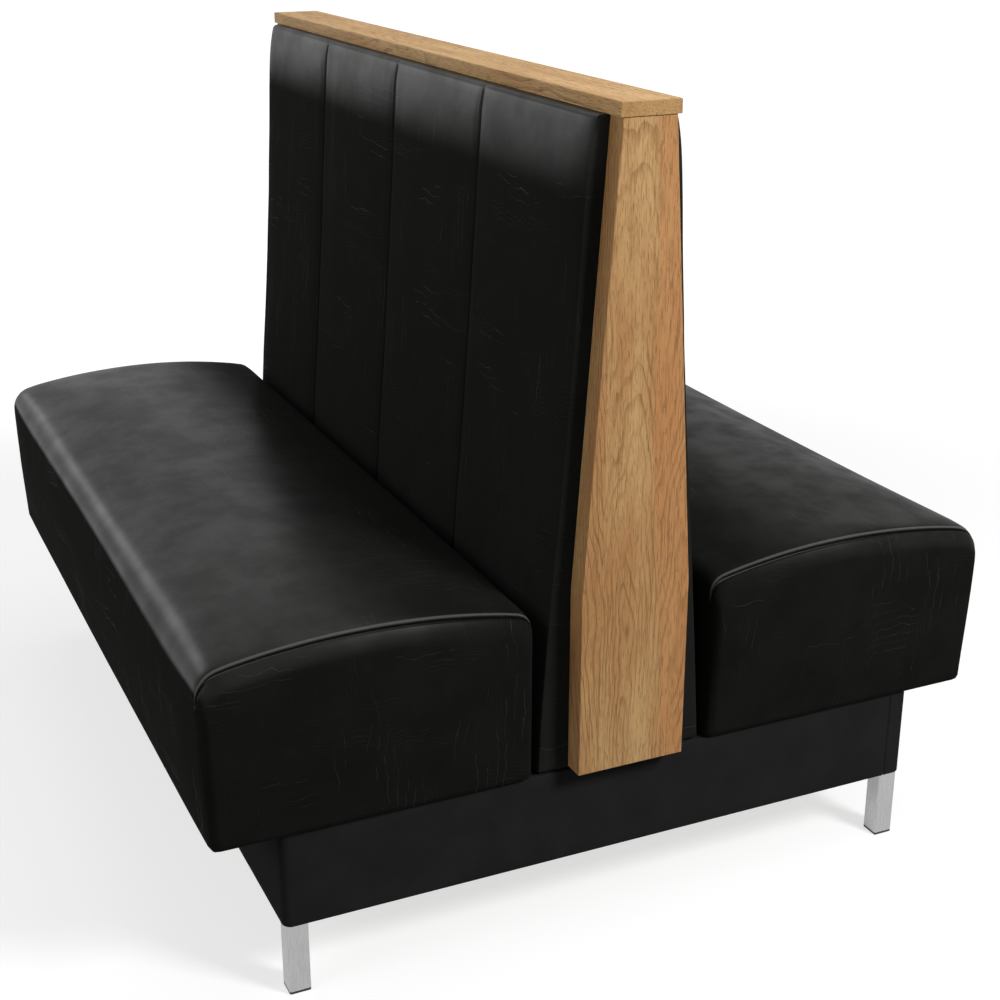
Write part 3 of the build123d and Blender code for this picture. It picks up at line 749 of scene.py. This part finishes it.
def seatHeld(points):
    x, y, z = np.abs(points[:, 0]), -points[:, 1], points[:, 2]
    sewn = 1 - smoothStep(*seatLook["sewnHold"], np.abs(x - seatLook["sewnX"]))
    bottom = 1 - smoothStep(*seatLook["footHold"], z)
    back = (1 - smoothStep(*seatLook["backHold"], y)) * seatLook["backShare"]
    return np.clip(np.maximum.reduce([sewn * (z > seatLook["sewnFloor"]), bottom, back]), 0, 1)


seatNear = makeSeat(seatLook)
swell(seatNear, seatLook, seatHeld)
recessBottom(seatNear, seatLook)
seatFar = turnedCopy(seatNear, "seatCushionFar", seatVinylTurned)
print("booth: seats made")


# Back pads

padLook = dict(
    halfLength=0.5947, bottomZ=0.231, topZ=1.0497, channels=4,
    heights=(0.231, 0.479, 0.610, 0.758, 1.0357, 1.0497),
    reaches=(0.120, 0.103, 0.0915, 0.0800, 0.061, 0.060),
    endRound=0.045, endDrop=0.005, topRadius=0.006, bottomRadius=0.008, cornerShare=0.6,
    topLean=0.005, topLeanReach=0.06, leanPower=2.5,
    seamDepth=0.0050, seamReach=0.020, seamPower=2.4, flatReach=0.05, flatShare=0.75,
    grooveDepth=0.0045, grooveHalf=0.0014, lipRise=0.0011, lipAway=0.0042, lipHalf=0.002, frontFacing=-0.35,
    fadeFrom=0.035, fadeTo=0.004, stitchLength=0.0065, stitchShare=0.15,
    levelSpacing=0.0095, across=44, crowding=0.155, backSteps=40, sideSteps=5,
    footAngles=(0, 18, 36, 54, 72), rimAngles=(15, 30, 45, 60, 75, 90),
    kinkZ=0.479, panelHalf=0.0745, taper=0.0700525, boardSetback=0.0097,
    sewnHold=(0.004, 0.014), backHold=(0.004, 0.016), rimHold=(0.002, 0.012), footHold=(0.002, 0.02),
    stiffness=12.0, bending=3.0, pressure=2.8, moveCap=0.004, calming=30,
)


def channelSpread(look):
    # places across the back, closer together at the seams and the ends
    edges = np.linspace(-look["halfLength"], look["halfLength"], look["channels"] + 1)
    places = []
    for left, right in zip(edges[:-1], edges[1:]):
        share = np.linspace(0, 1, look["across"], endpoint=False)
        eased = share - look["crowding"] * np.sin(2 * math.pi * share)
        places += list(left + (right - left) * eased)
    return np.array(places + [look["halfLength"]]), edges[1:-1]


def padBack(look, z):
    return look["panelHalf"] - look["boardSetback"] - look["taper"] * np.maximum(z - look["kinkZ"], 0)


def padFront(look, x, z, seams):
    # how far the padding stands from the middle of the back
    lean = np.clip((z - (look["topZ"] - look["topLeanReach"])) / look["topLeanReach"], 0, 1)
    reach = np.interp(z, look["heights"], look["reaches"]) - look["topLean"] * lean ** look["leanPower"]
    away = np.min(np.abs(x[:, None] - seams[None, :]), axis=1)
    under = 1 - look["flatShare"] * smoothStep(look["topZ"] - look["flatReach"], look["topZ"], np.array([z]))
    valley = look["seamDepth"] * np.clip(1 - away / look["seamReach"], 0, 1) ** look["seamPower"] * under
    share = np.clip(1 - (look["halfLength"] - np.abs(x)) / look["endRound"], 0, 1)
    return reach - valley, look["endDrop"] * (1 - np.sqrt(np.maximum(1 - share ** 2, 0)))


def padLevels(look):
    # height and inset of each ring, round at the foot and the top
    top, bottom = look["topZ"], look["bottomZ"]
    foot, rim = look["bottomRadius"], look["topRadius"]
    levels = [
        (bottom + foot * (1 - math.cos(a)), foot * (1 - math.sin(a))) for a in np.radians(look["footAngles"])]
    flatLevels = int((top - bottom) / look["levelSpacing"])
    levels += [(z, 0.0) for z in np.linspace(bottom + foot, top - rim, flatLevels)]
    levels += [
        (top - rim * (1 - math.sin(a)), rim * (1 - math.cos(a))) for a in np.radians(look["rimAngles"])]
    return levels


def makePad(look):
    places, seams = channelSpread(look)
    between = np.linspace(0, 1, look["sideSteps"] + 1)[1:-1]
    backSteps = look["backSteps"]
    rings = []
    for z, inset in padLevels(look):
        front, endDrop = padFront(look, places, z, seams)
        front = front - inset - endDrop
        back = float(padBack(look, z))
        x = np.sign(places) * np.minimum(np.abs(places), look["halfLength"] - inset * look["cornerShare"])
        frontLine = np.column_stack([x, -front, np.full(len(x), z)])
        right = [[x[-1], -(front[-1] + (back - front[-1]) * t), z] for t in between]
        left = [[x[0], -(back + (front[0] - back) * t), z] for t in between]
        backX = np.linspace(x[-1], x[0], backSteps)
        backLine = np.column_stack([backX, np.full(backSteps, -back), np.full(backSteps, z)])
        rings.append(np.concatenate([frontLine, right, backLine, left]))
    count = len(rings[0])
    faces = tubeFaces(len(rings), count)
    faces.append(tuple(range(count))[::-1])
    start = (len(rings) - 1) * count
    faces.append(tuple(range(start, start + count)))
    return meshPiece("backPadNear", np.concatenate(rings), faces, backVinyl), seams


def padHeld(points):
    x, y, z = np.abs(points[:, 0]), -points[:, 1], points[:, 2]
    seams = np.array([0, padLook["halfLength"] / 2])
    away = np.min(np.abs(x[:, None] - seams[None, :]), axis=1)
    sewn = 1 - smoothStep(*padLook["sewnHold"], away)
    back = 1 - smoothStep(*padLook["backHold"], y - padBack(padLook, z))
    rim = 1 - smoothStep(*padLook["rimHold"], padLook["topZ"] - z)
    foot = 1 - smoothStep(*padLook["footHold"], z - padLook["bottomZ"])
    return np.clip(np.maximum.reduce([sewn, back, rim, foot]), 0, 1)


def cutSeams(piece, look, seams):
    # the stitched groove, with a raised lip on each side; it fades just under the cap
    points = getPoints(piece.data)
    away = np.min(np.abs(points[:, 0][:, None] - seams[None, :]), axis=1)
    front = getNormals(piece.data)[:, 1] < look["frontFacing"]
    fade = 1 - smoothStep(look["topZ"] - look["fadeFrom"], look["topZ"] - look["fadeTo"], points[:, 2])
    stitches = np.cos(points[:, 2] / look["stitchLength"] * 2 * math.pi)
    stitch = 1 - look["stitchShare"] + look["stitchShare"] * stitches
    groove = -look["grooveDepth"] * hill(away, look["grooveHalf"]) * stitch
    lipHighlight = look["lipRise"] * hill(away - look["lipAway"], look["lipHalf"])
    points[:, 1] -= np.where(front, (groove + lipHighlight) * fade, 0)
    setPoints(piece.data, points)


padNear, padSeams = makePad(padLook)
swell(padNear, padLook, padHeld)
cutSeams(padNear, padLook, padSeams)
padFar = turnedCopy(padNear, "backPadFar", backVinylTurned)
print("booth: back pads made")


# Vinyl wrap of the base

wrapLook = dict(
    halfX=0.595, halfY=0.457, bottomZ=0.100, topZ=0.229, cornerRadius=0.012, cornerSteps=9,
    edge=0.002, edgeAngles=(30, 60, 90), fold=0.027, thickness=0.0015, spacing=0.012, levels=14,
    seamAway=0.030, seamPlaces=(-0.006, -0.0035, -0.002, -0.001, 0, 0.001, 0.002, 0.0035, 0.006),
    seamDepth=0.0014, seamHalf=0.0011,
    lipRise=0.0005, lipAway=0.003, lipHalf=0.0014, endReach=0.004, slack=0.0005, slackScale=(5, 5, 9),
)


def wrapOutline(look):
    # places round the box, each with its outward direction
    halfX, halfY, radius = look["halfX"], look["halfY"], look["cornerRadius"]
    outline = []
    for signX, signY, turn in ((1, -1, -90), (1, 1, 0), (-1, 1, 90), (-1, -1, 180)):
        centre = np.array([signX * (halfX - radius), signY * (halfY - radius)])
        for angle in np.radians(turn + np.linspace(0, 90, look["cornerSteps"])):
            out = np.array([math.cos(angle), math.sin(angle)])
            outline.append((centre + radius * out, out))
    dense = []
    for (first, out), (second, nextOut) in zip(outline, outline[1:] + outline[:1]):
        steps = max(1, int(np.linalg.norm(second - first) / look["spacing"]))
        for t in range(steps):
            dense.append((first + (second - first) * t / steps, out + (nextOut - out) * t / steps))
    # extra places beside the seam of each end
    for sign in (1, -1):
        seamY = sign * (halfY - look["seamAway"])
        for offset in look["seamPlaces"]:
            dense.append((np.array([sign * halfX, seamY + offset]), np.array([float(sign), 0.0])))
    dense.sort(key=lambda item: math.atan2(item[0][1], item[0][0]))
    places = np.array([place for place, out in dense])
    return places, np.array([out / np.linalg.norm(out) for place, out in dense])


def makeWrap(look):
    base, out = wrapOutline(look)
    bottom, top, edge, fold = look["bottomZ"], look["topZ"], look["edge"], look["fold"]
    angles = np.radians(look["edgeAngles"])
    levels = [(bottom, fold), (bottom, fold * 0.5), (bottom, edge)]
    levels += [(bottom + edge * (1 - math.cos(a)), edge * (1 - math.sin(a))) for a in angles]
    levels += [(z, 0.0) for z in np.linspace(bottom + edge, top - edge, look["levels"])[1:]]
    levels += [(top - edge * (1 - math.sin(a)), edge * (1 - math.cos(a))) for a in angles]
    levels += [(top, fold * 0.5), (top, fold)]
    rings = []
    for z, inset in levels:
        # the corners close up first, and the rest of the fold moves straight in
        atCorner = min(inset, look["cornerRadius"] * 0.98)
        onSide = np.abs(base) > np.array([look["halfX"], look["halfY"]]) - fold
        flat = base - out * atCorner - np.sign(base) * (inset - atCorner) * onSide
        rings.append(np.column_stack([flat, np.full(len(flat), z)]))
    points = np.concatenate(rings)
    side = np.tile(np.abs(out).max(1), len(levels))
    share = np.clip((points[:, 2] - bottom) / (top - bottom), 0, 1)
    slack = np.array([noise.noise(Vector(point * look["slackScale"])) for point in points])
    shift = look["slack"] * slack * np.sin(share * math.pi) * side
    points[:, :2] += np.tile(out, (len(levels), 1)) * shift[:, None]
    onEnd = np.abs(points[:, 0]) > look["halfX"] - look["endReach"]
    away = np.abs(points[:, 1] - np.sign(points[:, 0]) * (look["halfY"] - look["seamAway"]))
    seam = -look["seamDepth"] * hill(away, look["seamHalf"])
    seam = seam + look["lipRise"] * hill(away - look["lipAway"], look["lipHalf"])
    points[:, 0] += np.sign(points[:, 0]) * np.where(onEnd, seam, 0)
    piece = meshPiece("baseWrap", points, tubeFaces(len(levels), len(base)), baseVinyl)
    thicken(piece, look["thickness"], -1)
    return piece


baseWrap = makeWrap(wrapLook)
print("booth: base wrap made")


# Dust cloth under each seat

# room is what the cloth has under the frame, and clothShare is how much of it the cloth takes
dustLook = dict(
    halfX=0.5747, backY=0.1513, frontY=0.5157, topZ=0.2309, room=0.0008, clothShare=0.6,
    sag=0.0004, sagReach=0.04, sagShare=0.8, ripple=0.0003, rippleScale=14, steps=60,
)


def makeDustCover(look):
    xs = np.linspace(-look["halfX"], look["halfX"], look["steps"] * 2 + 1)
    ys = np.linspace(look["backY"], look["frontY"], look["steps"] // 2 + 1)
    points = []
    for x in xs:
        for y in ys:
            edge = min(look["halfX"] - abs(x), y - look["backY"], look["frontY"] - y)
            pull = min(1, edge / look["sagReach"])
            spot = Vector((x * look["rippleScale"], y * look["rippleScale"], 0))
            sag = pull * (look["sag"] + noise.noise(spot) * look["ripple"]) * look["sagShare"]
            points.append((x, -y, look["topZ"] - look["room"] / 2 - sag))
    rows = len(ys)
    corners = [i * rows + j for i in range(len(xs) - 1) for j in range(rows - 1)]
    faces = [(corner, corner + 1, corner + rows + 1, corner + rows) for corner in corners]
    piece = meshPiece("dustCoverNear", points, faces, dustCloth)
    thicken(piece, look["room"] * look["clothShare"], 0)
    return piece


dustNear = makeDustCover(dustLook)
dustFar = turnedCopy(dustNear, "dustCoverFar", dustCloth)
for piece, side in ((dustNear, "near"), (dustFar, "far")):
    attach(piece, "root")
    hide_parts("seat_dust_cover_" + side)
for piece, side in ((seatNear, "near"), (seatFar, "far")):
    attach(piece, "root")
    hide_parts("seat_cover_" + side, "seat_foam_" + side, "seat_wadding_" + side)
for piece, side in ((padNear, "near"), (padFar, "far")):
    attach(piece, "root")
    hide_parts("back_cover_" + side, "back_foam_" + side)
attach(baseWrap, "root")
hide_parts("base_cover")


# Floor, lights and camera

studioLook = dict(
    floorSize=60.0, floorGrey=0.35, shadowShare=0.40, floorLift=0.68, farLift=1.0, lifts=(1.3, 3.2),
    worldGrey=0.2,
)


def paleMaterial(name, look):
    material = bpy.data.materials.new(name)
    material.use_nodes = True
    tree = material.node_tree
    tree.nodes.clear()
    plain = addNode(tree, "ShaderNodeBsdfDiffuse", {"Color": (look["floorGrey"],) * 3 + (1,)})
    white = addNode(tree, "ShaderNodeBsdfDiffuse", {"Color": (look["shadowShare"],) * 3 + (1,)})
    # the lamps reach less far than the floor, so its own white takes over away from the object
    place = tree.nodes.new("ShaderNodeTexCoord").outputs["Object"]
    away = addNode(tree, "ShaderNodeVectorMath", {"Vector": place}, operation="LENGTH").outputs["Value"]
    strength = ramp(tree, away, *look["lifts"], look["floorLift"], look["farLift"])
    lift = addNode(tree, "ShaderNodeEmission", {"Color": (1, 1, 1, 1), "Strength": strength})
    shown = addNode(tree, "ShaderNodeAddShader")
    mix = addNode(tree, "ShaderNodeMixShader")
    output = tree.nodes.new("ShaderNodeOutputMaterial")
    tree.links.new(white.outputs[0], shown.inputs[0])
    tree.links.new(lift.outputs[0], shown.inputs[1])
    tree.links.new(seenOrMirrored(tree), mix.inputs[0])
    tree.links.new(plain.outputs[0], mix.inputs[1])
    tree.links.new(shown.outputs[0], mix.inputs[2])
    tree.links.new(mix.outputs[0], output.inputs[0])
    return material


half = studioLook["floorSize"] / 2
floorMesh = bpy.data.meshes.new("studioFloor")
floorCorners = [(-half, -half, 0), (half, -half, 0), (half, half, 0), (-half, half, 0)]
floorMesh.from_pydata(floorCorners, [], [(0, 1, 2, 3)])
floorMesh.materials.append(paleMaterial("pale studio floor", studioLook))
studioFloor = bpy.data.objects.new("studioFloor", floorMesh)
bpy.context.scene.collection.objects.link(studioFloor)

world = bpy.data.worlds.new("studio")
bpy.context.scene.world = world
world.use_nodes = True
worldTree = world.node_tree
worldWhite = ramp(worldTree, seenOrMirrored(worldTree), 0.0, 1.0, studioLook["worldGrey"], 1.0)
background = worldTree.nodes["Background"]
background.inputs[0].default_value = (1, 1, 1, 1)
worldTree.links.new(worldWhite, background.inputs[1])


def faceTowards(thing, look):
    thing.location = look["place"]
    aim = Vector(look["aim"]) - Vector(look["place"])
    thing.rotation_euler = aim.to_track_quat("-Z", "Y").to_euler()
    bpy.context.scene.collection.objects.link(thing)


lampLook = {
    "keyBox": dict(place=(2.58, 1.26, 2.32), aim=(0.3, 0, 0.5), size=(0.76, 0.76), power=84),
    "overheadBox": dict(place=(-0.2, 0.3, 3.2), aim=(0, 0, 0.4), size=(2.6, 2.6), power=28),
    "frontBox": dict(place=(1.2, -3.6, 2.2), aim=(0, 0, 0.5), size=(2.4, 2.0), power=34),
    "leftBox": dict(place=(-3.4, -1.9, 1.9), aim=(0.3, -0.1, 0.9), size=(1.4, 1.2), power=22),
}
for name, look in lampLook.items():
    lamp = bpy.data.lights.new(name, "AREA")
    lamp.shape = "RECTANGLE"
    lamp.size, lamp.size_y = look["size"]
    lamp.energy = look["power"]
    faceTowards(bpy.data.objects.new(name, lamp), look)

cameraLook = dict(place=(2.2682, -0.9346, 1.3141), aim=(0.0, 0.1024, 0.3630), lens=60.546, sensor=36)
camera = bpy.data.objects.new("camera", bpy.data.cameras.new("camera"))
camera.data.sensor_width = cameraLook["sensor"]
camera.data.lens = cameraLook["lens"]
faceTowards(camera, cameraLook)
bpy.context.scene.camera = camera
bpy.context.scene.view_settings.view_transform = "Standard"
print("booth: floor, lights and camera set")
